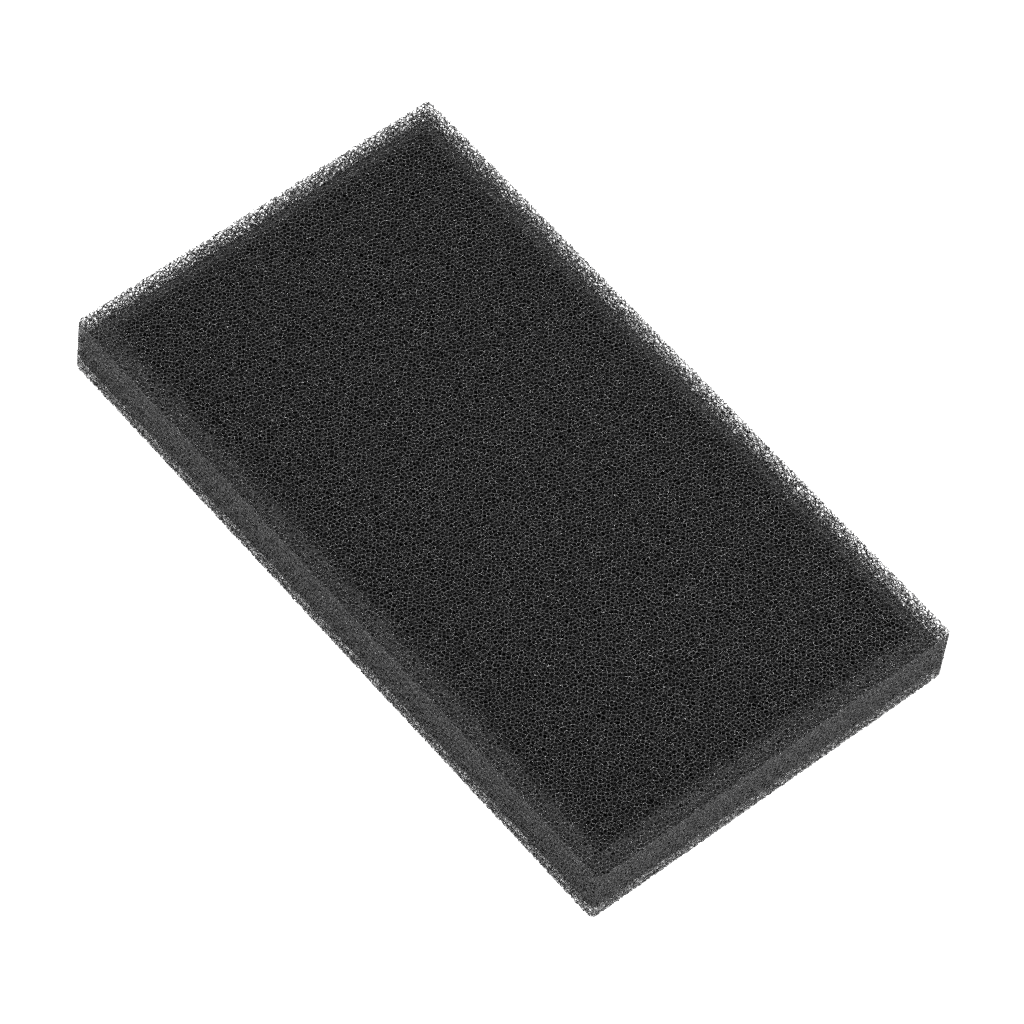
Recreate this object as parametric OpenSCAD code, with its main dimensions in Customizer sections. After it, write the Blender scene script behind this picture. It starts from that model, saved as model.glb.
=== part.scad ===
// Flat foam filter pad for the air cleaner of a small engine.
// It is one slab of open-cell foam, cut square from half-inch sheet, with nothing glued or sewn to it.
// The origin is the middle of the bottom face. +X runs along the pad, +Y across it and +Z up through it.

/* [Pad] */
// Length of the pad, along X
pad_length = 134; // [60:1:260]
// Width of the pad, along Y
pad_width = 76; // [40:1:160]
// Thickness of the foam sheet that the pad is cut from
sheet_thickness = 12.7; // [5:0.1:40]
// Radius that the cutting die leaves on the four upright corners
corner_radius = 0.8; // [0.2:0.1:12]

/* [Hidden] */
foam_colour = "#2c2c2e";
corner_facets = 48;
// The corner arcs are centred this far from the pad's middle
corner_x = pad_length / 2 - corner_radius;
corner_y = pad_width / 2 - corner_radius;

// Plan of the pad: two crossed rectangles, with a full circle filling each corner
module pad_outline() {
  square([pad_length, 2 * corner_y], center = true);
  square([2 * corner_x, pad_width], center = true);
  for (side_x = [-1, 1], side_y = [-1, 1]) {
    translate([side_x * corner_x, side_y * corner_y])
      circle(r = corner_radius, $fn = corner_facets);
  }
}

// The slab of foam, as one closed solid that stands for its whole web of strands
module foam_pad() {
  color(foam_colour)
    linear_extrude(height = sheet_thickness)
      pad_outline();
}

foam_pad();
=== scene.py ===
"""A flat pad of open-cell filter foam: its web of strands, on a pale floor in soft studio light."""

import bpy
import numpy as np
from mathutils import Matrix, Vector


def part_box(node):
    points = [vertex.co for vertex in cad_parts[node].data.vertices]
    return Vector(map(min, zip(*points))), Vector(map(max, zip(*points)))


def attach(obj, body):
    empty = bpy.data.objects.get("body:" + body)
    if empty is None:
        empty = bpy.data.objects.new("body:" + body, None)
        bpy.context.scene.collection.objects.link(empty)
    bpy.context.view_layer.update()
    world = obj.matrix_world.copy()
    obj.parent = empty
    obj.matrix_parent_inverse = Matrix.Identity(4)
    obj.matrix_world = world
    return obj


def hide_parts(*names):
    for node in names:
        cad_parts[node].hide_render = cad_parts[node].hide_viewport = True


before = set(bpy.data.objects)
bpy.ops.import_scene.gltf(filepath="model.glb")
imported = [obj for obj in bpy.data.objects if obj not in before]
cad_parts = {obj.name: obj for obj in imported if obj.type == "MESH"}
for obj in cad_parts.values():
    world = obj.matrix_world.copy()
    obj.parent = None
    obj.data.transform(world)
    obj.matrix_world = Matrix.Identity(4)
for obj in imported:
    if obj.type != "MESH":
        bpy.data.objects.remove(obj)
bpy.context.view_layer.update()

# --- The foam's cells -------------------------------------------------------------------------------
# The foam is blown polyurethane whose bubbles pack like froth, three quarters of a millimetre apart.
# Its cell films are burnt away, so only the strands where bubbles met are left. Near a face that froth
# is a shaken honeycomb of cells the knife opened, with a net of strands along the seams between them.

mm = 0.001
cell_width = 0.76 * mm
cell_shake = 0.36


def cell_middles(size, width, turn, random):
    """Middles of the cells over a face of this size: a turned honeycomb whose points are moved at
    random. Returns them, their numbers in a grid of lattice steps, the grid, and its row length."""
    margin = 3.5 * width
    half = size / 2 + margin
    spin = np.array([[np.cos(turn), np.sin(turn)], [-np.sin(turn), np.cos(turn)]])
    lattice = width * np.array([[1, 0], [0.5, np.sqrt(0.75)]]) @ spin
    corners = np.array([[-1, -1], [-1, 1], [1, -1], [1, 1]]) * half @ np.linalg.inv(lattice)
    first = np.floor(corners.min(0)).astype(int)
    count = np.ceil(corners.max(0)).astype(int) - first + 1
    grid = np.stack(np.meshgrid(*map(np.arange, count), indexing="ij"), -1).reshape(-1, 2)
    place = (grid + first) @ lattice + random.uniform(-cell_shake * width, cell_shake * width, grid.shape)
    near = (np.abs(place) < half).all(1)
    number = grid[near] @ np.array([count[1], 1])
    table = np.full(int(np.prod(count)), -1, np.int64)
    table[number] = np.arange(near.sum())
    return place[near], number, table, count[1]


def seams_between(place, number, table, row, worked):
    """The Voronoi edges of the middles. Points as near to middles i and j lie on the line halfway
    between them, and every other middle m cuts that line where it comes as near; what is left between
    the last cut from below and the first from above is a seam. Returns i and j, the middles met at the
    seam's two ends, and both ends, which run counterclockwise about j as seen from i."""
    line = np.arange(-2, 3)
    steps = np.stack(np.meshgrid(line, line, indexing="ij"), -1).reshape(-1, 2)
    square = steps[:, 0] ** 2 + steps[:, 0] * steps[:, 1] + steps[:, 1] ** 2
    steps = steps[(square > 0) & (square <= 4)]
    jump = steps @ np.array([row, 1])
    around = table[number[worked][:, None] + jump]
    gap = place[around] - place[worked][:, None]
    missing = 1.0
    gap[around < 0] = missing
    half_square = (gap ** 2).sum(-1) / 2
    rows = np.arange(len(worked))
    level = 1e-9
    found = []
    for j in np.flatnonzero(jump > 0):
        along = np.stack([-gap[:, j, 1], gap[:, j, 0]], -1)
        along /= np.linalg.norm(along, axis=-1, keepdims=True)
        slope = np.einsum("cni,ci->cn", gap, along)
        room = half_square - np.einsum("cni,ci->cn", gap, gap[:, j] / 2)
        slope[:, j] = 0
        cut = np.divide(room, slope, out=np.zeros_like(room), where=np.abs(slope) > level)
        above = np.where(slope > level, cut, np.inf)
        below = np.where(slope < -level, cut, -np.inf)
        last, first = below.argmax(1), above.argmin(1)
        bottom, top = below[rows, last], above[rows, first]
        real = np.flatnonzero(bottom < top)
        start = place[worked[real]] + gap[real, j] / 2
        found.append((
            np.stack([worked[real], around[real, j]], -1),
            np.stack([around[real, last[real]], around[real, first[real]]], -1),
            start + bottom[real, None] * along[real],
            start + top[real, None] * along[real],
        ))
    return [np.concatenate(part) for part in zip(*found)]


def knots_of(sides, ends, foot, head, cell_count):
    """Strand ends among the same cells meet at one knot. Returns each knot's cells in rising order, its
    place, and the knots at the strands' feet and at their heads."""
    cells = np.sort(np.concatenate([np.hstack([sides, ends[:, :1]]), np.hstack([sides, ends[:, 1:]])]), 1)
    key = cells @ cell_count ** np.arange(cells.shape[1])[::-1]
    _, first, knot = np.unique(key, return_index=True, return_inverse=True)
    return cells[first], np.concatenate([foot, head])[first], knot[:len(foot)], knot[len(foot):]


# The knots don't lie in a plane: each one is sunk by a random part of net_waver. The second net drifts
# sideways of the first by waves about three cells long, so that the two don't cover each other.
first_reach = 0.095 * cell_width
net_waver = 0.2 * cell_width
net_drift = 0.34 * cell_width
drift_waves = 6
drift_length = 3.3
far_off = 1000.0


def drift_of(spot, width, random):
    """How far aside of the first net's knots the second's lie: a sum of even waves, each one running
    its own random way."""
    heading, shift = random.uniform(0, 2 * np.pi, (2, 2, 1, drift_waves))
    phase = spot[:, :1] * np.cos(heading) + spot[:, 1:] * np.sin(heading)
    waves = np.sin(phase * 2 * np.pi / (drift_length * width) + shift)
    return net_drift * np.sqrt(2 / drift_waves) * waves.sum(-1).T


def face_nets(origin, across, upward, size, width, turn, depth, gap, seed):
    """Strands of the nets behind one face. The first net's knots stand over the Voronoi corners of the
    cell middles; the second net is the same one a gap deeper and drifted sideways, with a tie from
    each knot to its fellow, and a gap of nothing leaves it out. The air outside and the foam inside
    count as two more cells, far off. Returns the cell middles, and each strand's three cells, the
    fourth cell at each end, and its ends."""
    random = np.random.default_rng(seed)
    outward = np.cross(across, upward)
    flat, number, table, row = cell_middles(size, width, turn, random)
    overlap = 1.2 * width
    worked = np.flatnonzero((np.abs(flat) < size / 2 + overlap).all(1))
    pairs, ends, foot, head = seams_between(flat, number, table, row, worked)
    trio, spot, below, above = knots_of(pairs, ends, foot, head, len(flat))
    drift = drift_of(spot, width, random)
    deep_first = depth + first_reach + random.uniform(0, net_waver, len(spot))
    deep_second = depth + gap + random.uniform(0, net_waver, len(spot))

    def lifted(places, deep):
        return origin + places[:, :1] * across + places[:, 1:] * upward - deep[:, None] * outward

    near_net = lifted(spot, deep_first)
    far_net = lifted(spot + drift, deep_second)
    corners_per_cell = 6
    share = np.zeros((len(flat), 2))
    for column in range(3):
        np.add.at(share, trio[:, column], drift / 2 / corners_per_cell)
    middles = lifted(flat + share, np.full(len(flat), depth + (gap + net_waver) / 2))
    middles = np.concatenate([middles, [origin + far_off * outward, origin - far_off * outward]])
    air, inside = len(flat), len(flat) + 1
    outer = np.hstack([pairs[:, ::-1], np.full((len(pairs), 1), air)])
    found = [(outer, ends, near_net[below], near_net[above])]
    if gap > 0:
        inner = np.hstack([pairs, np.full((len(pairs), 1), inside)])
        found.append((inner, ends, far_net[below], far_net[above]))
        corner = flat[trio]
        left = np.cross(corner[:, 1] - corner[:, 0], corner[:, 2] - corner[:, 0]) > 0
        whole = np.bincount(np.concatenate([below, above]), minlength=len(spot)) == 3
        tie = np.where(left[:, None], trio, trio[:, [0, 2, 1]])[whole]
        tie_ends = np.tile([inside, air], (len(tie), 1))
        found.append((tie, tie_ends, far_net[whole], near_net[whole]))
    return [middles] + [np.concatenate(part) for part in zip(*found)]


# --- The web of strands -----------------------------------------------------------------------------
# Each strand is a three-sided rib about an eighth of a millimetre thick, and four meet at each knot.
# A knife cut the pad's faces, so a strand that crosses one ends in a flat triangle. On the four sides
# the cut ends stand loose by nearly a fifth of a millimetre, and the upright corners are worn round.

pad_low, pad_high = (np.array(corner, float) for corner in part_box("foam_pad"))
pad_middle = (pad_low + pad_high) / 2
second_reach = 0.085 * cell_width
loose_ends = 0.18 * mm
corner_round = 1.4 * mm
web_low = pad_low - loose_ends * np.array([1, 1, 0])
web_high = pad_high + loose_ends * np.array([1, 1, 0])
web_size = web_high - web_low


def inside_pad(points):
    """True for each point that lies within the web's faces."""
    return ((points > web_low) & (points < web_high)).all(-1)


def rounded(points):
    """The points with the pad's upright corners rounded: near a corner, where a point is some way past
    both arris lines, it is drawn in so that squares about the corner turn into quarter circles."""
    offset = points[:, :2] - pad_middle[:2]
    beyond = np.maximum(np.abs(offset) - (web_size[:2] / 2 - corner_round), 0)
    length = np.linalg.norm(beyond, axis=1)
    kept = np.divide(beyond.max(1), length, out=np.ones_like(length), where=length > 0)
    offset -= np.sign(offset) * beyond * (1 - kept[:, None])
    return np.column_stack([pad_middle[:2] + offset, points[:, 2]])


def cut_ends(points, corners, kept):
    """Stops each strand that leaves the pad at the face it crosses. Its three corners past that face
    give way to new points on it, in the corners handed in. Returns the new points and the flat caps."""
    still = 1e-12
    total = len(points)
    cuts, caps = [], []
    for here, there in ((0, 1), (1, 0)):
        crossing = np.flatnonzero(kept[here] & ~kept[there])
        begin, finish = points[corners[here][crossing]], points[corners[there][crossing]]
        run = finish - begin
        wall = np.where(run > 0, web_high, web_low)
        part = np.divide(wall - begin, run, out=np.ones_like(run), where=np.abs(run) > still)
        part = np.clip(part.min(-1), 0, 1)
        cuts.append((begin + part[..., None] * run).reshape(-1, 3))
        new = total + np.arange(3 * len(crossing)).reshape(-1, 3)
        total += new.size
        corners[there][crossing] = new
        caps.append(new if there else new[:, ::-1])
    return cuts, caps


def knot_covers(points, middle, used):
    """Triangles over the sides of the knots that no strand leaves from, facing away from the knot."""
    bare, corner = np.nonzero(~used & used.any(1)[:, None])
    other = np.array([[1, 2, 3], [0, 2, 3], [0, 1, 3], [0, 1, 2]])[corner]
    cover = bare[:, None] * 4 + other
    normal = np.cross(points[cover[:, 1]] - points[cover[:, 0]], points[cover[:, 2]] - points[cover[:, 0]])
    outward = ((points[cover[:, 0]] - middle[bare]) * normal).sum(1) > 0
    return np.where(outward[:, None], cover, cover[:, ::-1])


def web_surface(middles, sides, ends, foot, head):
    """Closed surface of the strands. A knot has four corners, each moved from its middle towards one of
    the four cells around it. A strand is three quads between its cells' corners at both knots,
    stopped at the pad's faces. Returns points, quads and triangles."""
    around, middle, foot_knot, head_knot = knots_of(sides, ends, foot, head, len(middles))
    towards = middles[around] - middle[:, None]
    towards /= np.linalg.norm(towards, axis=-1, keepdims=True)
    air = len(middles) - 2
    reach = np.where((around == air).any(1), first_reach, second_reach)
    points = (middle[:, None] + reach[:, None, None] * towards).reshape(-1, 3)
    within = inside_pad(middle)
    used = np.zeros((len(middle), 4), bool)
    corners, kept = [], []
    for knot in (foot_knot, head_knot):
        corner = (around[knot][:, None, :] == sides[:, :, None]).argmax(-1)
        opposite = 6 - corner.sum(1)
        real = within[knot]
        used[knot[real], opposite[real]] = True
        corners.append(knot[:, None] * 4 + corner)
        kept.append(real)
    cuts, caps = cut_ends(points, corners, kept)
    points = np.concatenate([points] + cuts)
    real = kept[0] | kept[1]
    low, high = corners[0][real], corners[1][real]
    quads = np.concatenate([
        np.stack([low[:, n], low[:, m], high[:, m], high[:, n]], -1) for n, m in ((0, 1), (1, 2), (2, 0))
    ])
    triangles = np.concatenate(caps + [knot_covers(points, middle, used)])
    needed = np.zeros(len(points), bool)
    needed[quads.ravel()] = True
    needed[triangles.ravel()] = True
    fresh = np.cumsum(needed) - 1
    return rounded(points[needed]), fresh[quads], fresh[triangles]


def mesh_object(name, points, quads, triangles):
    """A smooth-shaded Blender object at the origin from arrays of points, quads and triangles."""
    mesh = bpy.data.meshes.new(name)
    mesh.vertices.add(len(points))
    mesh.vertices.foreach_set("co", points.astype(np.float32).ravel())
    mesh.loops.add(quads.size + triangles.size)
    corners = np.concatenate([quads.ravel(), triangles.ravel()])
    mesh.loops.foreach_set("vertex_index", corners.astype(np.int32))
    mesh.polygons.add(len(quads) + len(triangles))
    starts = np.concatenate([np.arange(len(quads)) * 4, quads.size + np.arange(len(triangles)) * 3])
    mesh.polygons.foreach_set("loop_start", starts.astype(np.int32))
    mesh.polygons.foreach_set("use_smooth", np.full(len(starts), True))
    mesh.update(calc_edges=True)
    mesh.validate()
    piece = bpy.data.objects.new(name, mesh)
    bpy.context.scene.collection.objects.link(piece)
    return piece


def colour_ramp(tree, stops):
    """A colour ramp node through stops that each hold a position and a colour."""
    ramp = tree.nodes.new("ShaderNodeValToRGB")
    for position, _ in stops[1:-1]:
        ramp.color_ramp.elements.new(position)
    for element, (position, colour) in zip(ramp.color_ramp.elements, stops):
        element.position = position
        element.color = (*colour, 1)
    return ramp


def strand_material():
    """Charcoal polyurethane: near black, slightly satin, with paler and darker strands by place, and
    smoother and duller spots along each one."""
    material = bpy.data.materials.new("charcoal_strand")
    material.use_nodes = True
    tree = material.node_tree
    shader = tree.nodes["Principled BSDF"]
    place = tree.nodes.new("ShaderNodeTexCoord")
    patch = tree.nodes.new("ShaderNodeTexNoise")
    patch.inputs["Scale"].default_value = 1 / (0.8 * cell_width)
    patch.inputs["Detail"].default_value = 3.0
    tree.links.new(place.outputs["Object"], patch.inputs["Vector"])
    tint = colour_ramp(tree, ((0.3, (0.002, 0.002, 0.0022)), (0.7, (0.009, 0.009, 0.0094))))
    tree.links.new(patch.outputs["Fac"], tint.inputs["Fac"])
    tree.links.new(tint.outputs["Color"], shader.inputs["Base Color"])
    gloss = tree.nodes.new("ShaderNodeTexNoise")
    gloss.inputs["Scale"].default_value = 1 / (0.3 * cell_width)
    gloss.inputs["Detail"].default_value = 0.0
    tree.links.new(place.outputs["Object"], gloss.inputs["Vector"])
    sheen = tree.nodes.new("ShaderNodeMapRange")
    sheen.inputs["From Min"].default_value = 0.36
    sheen.inputs["From Max"].default_value = 0.58
    sheen.inputs["To Min"].default_value = 0.6
    sheen.inputs["To Max"].default_value = 0.24
    tree.links.new(gloss.outputs["Fac"], sheen.inputs["Value"])
    tree.links.new(sheen.outputs["Result"], shader.inputs["Roughness"])
    return material


strand_look = strand_material()
largest_piece = 190000
strand_triangles = 6.7


def add_web(name, net):
    """The strands as pieces of a size that the files can hold, cut across the pad's length."""
    middles, sides, ends, foot, head = net
    kept = inside_pad(foot) | inside_pad(head)
    sides, ends, foot, head = sides[kept], ends[kept], foot[kept], head[kept]
    parts = int(np.ceil(len(sides) * strand_triangles / largest_piece))
    ranked = np.argsort((foot + head)[:, 0], kind="stable")
    for number, part in enumerate(np.array_split(ranked, parts)):
        surface = web_surface(middles, sides[part], ends[part], foot[part], head[part])
        web = mesh_object(f"foam_web_{name}_{number + 1}", *surface)
        web.data.materials.append(strand_look)
        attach(web, "root")


# Each face has its middle, its two ways along it, its size, the width of its cells, how far round its
# honeycomb is turned, and the gap between its nets. The underside, which nobody sees, has a single net.
net_gap = 0.8 * cell_width
side_gap = 0.3 * cell_width
under_cell = 1.4 * cell_width
middle_x, middle_y, middle_z = (web_low + web_high) / 2
long_side = web_size[[0, 2]]
short_side = web_size[[1, 2]]
x_way, y_way, z_way = np.eye(3)
faces = {
    "top": ((middle_x, middle_y, web_high[2]), x_way, y_way, web_size[:2], cell_width, 0.3, net_gap),
    "front": ((middle_x, web_low[1], middle_z), x_way, z_way, long_side, cell_width, 0.2, side_gap),
    "back": ((middle_x, web_high[1], middle_z), -x_way, z_way, long_side, cell_width, 0.4, side_gap),
    "left": ((web_low[0], middle_y, middle_z), -y_way, z_way, short_side, cell_width, 0.15, side_gap),
    "right": ((web_high[0], middle_y, middle_z), y_way, z_way, short_side, cell_width, 0.35, side_gap),
    "bottom": ((middle_x, middle_y, web_low[2]), y_way, x_way, web_size[1::-1], under_cell, 0.25, 0.0),
}
for seed, (name, (origin, across, upward, size, width, turn, gap)) in enumerate(faces.items(), 1):
    add_web(name, face_nets(np.array(origin), across, upward, size, width, turn, 0.0, gap, seed))

# --- The web near the top edges ---------------------------------------------------------------------
# The foam is open enough for light to come through it near its edges. So the nets go on behind the top
# face there, pair under pair, in the room that the rounded edge of the dark core leaves.

edge_depths = (1.8, 3.7, 5.6)
first_edge_seed = 10
core_side = pad_low[0] - web_low[0] + 0.36 * cell_width
core_top = pad_high[2] - 1.1 * cell_width
core_base = pad_low[2] + 0.2 * cell_width
top_round = 7.2 * cell_width
base_round = 3.8 * cell_width


def core_inset(height):
    """How far the core stands back from the web's sides at each height: a quarter circle in from the
    sides at its top edge, and a smaller one at its bottom edge."""
    over = np.clip((height - core_top) / top_round + 1, 0, 1)
    under = np.clip((core_base - height) / base_round + 1, 0, 1)
    top_part = top_round * (1 - np.sqrt(1 - over ** 2))
    return core_side + top_part + base_round * (1 - np.sqrt(1 - under ** 2))


def outside_core(points):
    """True for each point of the pad that is outside the core."""
    aside = np.minimum(points - web_low, web_high - points)[..., :2].min(-1)
    height = points[..., 2]
    return (aside < core_inset(height)) | (height > core_top) | (height < core_base)


for number, deep in enumerate(edge_depths):
    origin, across, upward, size, width, turn, gap = faces["top"]
    middles, *strands = face_nets(
        np.array(origin), across, upward, size, width, turn + deep, deep * width, gap, first_edge_seed + number
    )
    open_room = outside_core((strands[2] + strands[3]) / 2)
    add_web(f"edge_{number + 1}", [middles] + [part[open_room] for part in strands])

# --- The dark core ----------------------------------------------------------------------------------
# Behind its first cells the real foam is web on web, and sends no light back. This closed dark form
# stands in for that depth, and its dark colour is painted shade. It is paler along its top and bottom
# edges with painted light, where light soaks through.

ring_steps = 8
corner_steps = 8
core_corner = 0.6 * corner_round


def core_surface():
    """Closed surface of the core: a stack of rounded rectangles, one at each height, each standing back
    by the core's inset there, with the top and bottom closed by one flat face each."""
    turn = np.linspace(0, np.pi / 2, ring_steps + 1)
    heights = np.concatenate([
        core_base + base_round * (1 - np.cos(turn)),
        core_top - top_round * (1 - np.sin(turn)),
    ])
    quarter = np.linspace(0, np.pi / 2, corner_steps + 1)
    angle = np.concatenate([quarter + n * np.pi / 2 for n in range(4)])
    arm = np.repeat([[1, 1], [-1, 1], [-1, -1], [1, -1]], corner_steps + 1, 0)
    half = web_size[:2] / 2 - core_inset(heights)[:, None] - core_corner
    flat = arm * half[:, None] + core_corner * np.stack([np.cos(angle), np.sin(angle)], -1)
    flat = flat + ((web_low + web_high) / 2)[:2]
    height = np.broadcast_to(heights[:, None, None], flat.shape[:2] + (1,))
    points = np.concatenate([flat, height], -1)
    rings, around = points.shape[:2]
    index = np.arange(rings * around).reshape(rings, around)
    beside = np.roll(index, -1, 1)
    quads = np.stack([index[:-1], beside[:-1], beside[1:], index[1:]], -1).reshape(-1, 4)
    fan = np.arange(1, around - 1)
    lid = index[-1, 0] + np.stack([np.zeros_like(fan), fan, fan + 1], -1)
    foot = np.stack([np.zeros_like(fan), fan + 1, fan], -1)
    return points.reshape(-1, 3), quads, np.concatenate([lid, foot])


def core_material():
    """Deep foam: faint strands along the seams of a Voronoi pattern of the same cells, times painted
    shade and light by height, from the core's top to its base: dark through the middle, and paler
    near the top edge and at the base where light soaks through."""
    # Painted shade and light: the dark hollows and the stops below paint the deep foam's shade. The paler
    # stops near the core's top edge and at its base paint the light that soaks through.
    seam, hollow_shade = 1.0, 0.05
    painted_shade_and_light = (
        (0.0, 0.003), (0.02, 0.02), (0.08, 0.06), (0.28, 0.008), (0.74, 0.014), (0.85, 0.07), (1.0, 0.4),
    )
    material = bpy.data.materials.new("painted_depth_shade")
    material.use_nodes = True
    tree = material.node_tree
    shader = tree.nodes["Principled BSDF"]
    shader.inputs["Roughness"].default_value = 1.0
    shader.inputs["Specular IOR Level"].default_value = 0.0
    place = tree.nodes.new("ShaderNodeTexCoord")
    cells = tree.nodes.new("ShaderNodeTexVoronoi")
    cells.feature = "DISTANCE_TO_EDGE"
    cells.inputs["Scale"].default_value = 1 / cell_width
    cells.inputs["Randomness"].default_value = 0.8
    tree.links.new(place.outputs["Object"], cells.inputs["Vector"])
    strands = colour_ramp(tree, ((0.03, (seam,) * 3), (0.14, (hollow_shade,) * 3)))
    tree.links.new(cells.outputs["Distance"], strands.inputs["Fac"])
    split = tree.nodes.new("ShaderNodeSeparateXYZ")
    tree.links.new(place.outputs["Object"], split.inputs["Vector"])
    height = tree.nodes.new("ShaderNodeMapRange")
    height.inputs["From Min"].default_value = core_top
    height.inputs["From Max"].default_value = core_base
    tree.links.new(split.outputs["Z"], height.inputs["Value"])
    painted_shade_and_light_ramp = colour_ramp(tree, [(down, (grey,) * 3) for down, grey in painted_shade_and_light])
    tree.links.new(height.outputs["Result"], painted_shade_and_light_ramp.inputs["Fac"])
    shade = tree.nodes.new("ShaderNodeMix")
    shade.data_type = "RGBA"
    shade.blend_type = "MULTIPLY"
    shade.inputs["Factor"].default_value = 1.0
    tree.links.new(strands.outputs["Color"], shade.inputs["A"])
    tree.links.new(painted_shade_and_light_ramp.outputs["Color"], shade.inputs["B"])
    tree.links.new(shade.outputs["Result"], shader.inputs["Base Color"])
    return material


core = mesh_object("foam_core", *core_surface())
core.data.materials.append(core_material())
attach(core, "root")
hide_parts("foam_pad")

# --- Floor ------------------------------------------------------------------------------------------
# The pad lies on a plain matt white sheet, three metres square. The sheet is one flat face, a hair
# below the lowest strands.

floor_reach = 1.5
floor_drop = 0.2 * mm
floor_corners = [(-1, -1), (1, -1), (1, 1), (-1, 1)]
floor_mesh = bpy.data.meshes.new("floor")
floor_mesh.from_pydata([(x * floor_reach, y * floor_reach, 0) for x, y in floor_corners], [], [(0, 1, 2, 3)])
floor = bpy.data.objects.new("floor", floor_mesh)
bpy.context.scene.collection.objects.link(floor)
floor.location.z = pad_low[2] - floor_drop
floor_look = bpy.data.materials.new("white_floor")
floor_look.use_nodes = True
floor_shader = floor_look.node_tree.nodes["Principled BSDF"]
floor_shader.inputs["Base Color"].default_value = (0.92, 0.92, 0.92, 1)
floor_shader.inputs["Roughness"].default_value = 0.9
floor.data.materials.append(floor_look)

# --- Light ------------------------------------------------------------------------------------------
# Four small overhead softboxes put a glint on each knot of the web. Two wide low ones light the sides.
# A faint even surround fills the shade, and the camera alone sees it as a white backdrop.

lamp_distance = 1.5


def soft_light(name, azimuth, elevation, size, power):
    """Square area light at an azimuth and elevation in degrees, aimed at the pad's middle."""
    turn, lift = np.radians(azimuth), np.radians(elevation)
    back = Vector((np.sin(turn) * np.cos(lift), -np.cos(turn) * np.cos(lift), np.sin(lift)))
    lamp = bpy.data.lights.new(name, "AREA")
    lamp.shape = "SQUARE"
    lamp.size = size
    lamp.energy = power
    holder = bpy.data.objects.new(name, lamp)
    holder.location = back * lamp_distance
    holder.rotation_euler = back.to_track_quat("Z", "Y").to_euler()
    bpy.context.scene.collection.objects.link(holder)


for number, azimuth in enumerate((20, 110, 200, 290), 1):
    soft_light(f"overhead_softbox_{number}", azimuth, elevation=58, size=0.2, power=24)
soft_light("left_softbox", azimuth=-25, elevation=14, size=1.3, power=13.5)
soft_light("right_softbox", azimuth=95, elevation=14, size=1.3, power=23)

surround_light = 0.15
backdrop_light = 1.0
world = bpy.data.worlds.new("studio")
world.use_nodes = True
surround = world.node_tree.nodes["Background"]
surround.inputs["Color"].default_value = (1, 1, 1, 1)
seen = world.node_tree.nodes.new("ShaderNodeLightPath")
strength = world.node_tree.nodes.new("ShaderNodeMapRange")
strength.inputs["To Min"].default_value = surround_light
strength.inputs["To Max"].default_value = backdrop_light
world.node_tree.links.new(seen.outputs["Is Camera Ray"], strength.inputs["Value"])
world.node_tree.links.new(strength.outputs["Result"], surround.inputs["Strength"])
bpy.context.scene.world = world

# --- Camera -----------------------------------------------------------------------------------------
# A long lens looks down on the pad from its front right corner, a little rolled. Denoising is off,
# because it smears strands this fine, and the filter is a little wide, which softens them.

camera_azimuth, camera_elevation, camera_roll = np.radians([42.893, 56.877, 8.421])
pad_length = pad_high[0] - pad_low[0]
camera_distance = 8.526 * pad_length
camera_target = Vector((-0.0004 * pad_length, 0.0126 * pad_length, pad_low[2]))
camera_back = Vector((
    np.sin(camera_azimuth) * np.cos(camera_elevation),
    -np.cos(camera_azimuth) * np.cos(camera_elevation),
    np.sin(camera_elevation),
))
level_right = Vector((np.cos(camera_azimuth), np.sin(camera_azimuth), 0))
level_up = camera_back.cross(level_right)
right = np.cos(camera_roll) * level_right + np.sin(camera_roll) * level_up
up = camera_back.cross(right)
camera_data = bpy.data.cameras.new("camera")
camera_data.sensor_width = 36.0
camera_data.lens = 241.9
camera_data.clip_end = 20.0
camera = bpy.data.objects.new("camera", camera_data)
camera.matrix_world = Matrix((right, up, camera_back)).transposed().to_4x4()
camera.location = camera_target + camera_back * camera_distance
bpy.context.scene.collection.objects.link(camera)
bpy.context.scene.camera = camera
bpy.context.scene.view_settings.view_transform = "Standard"
bpy.context.scene.cycles.use_denoising = False
bpy.context.scene.cycles.filter_width = 1.6
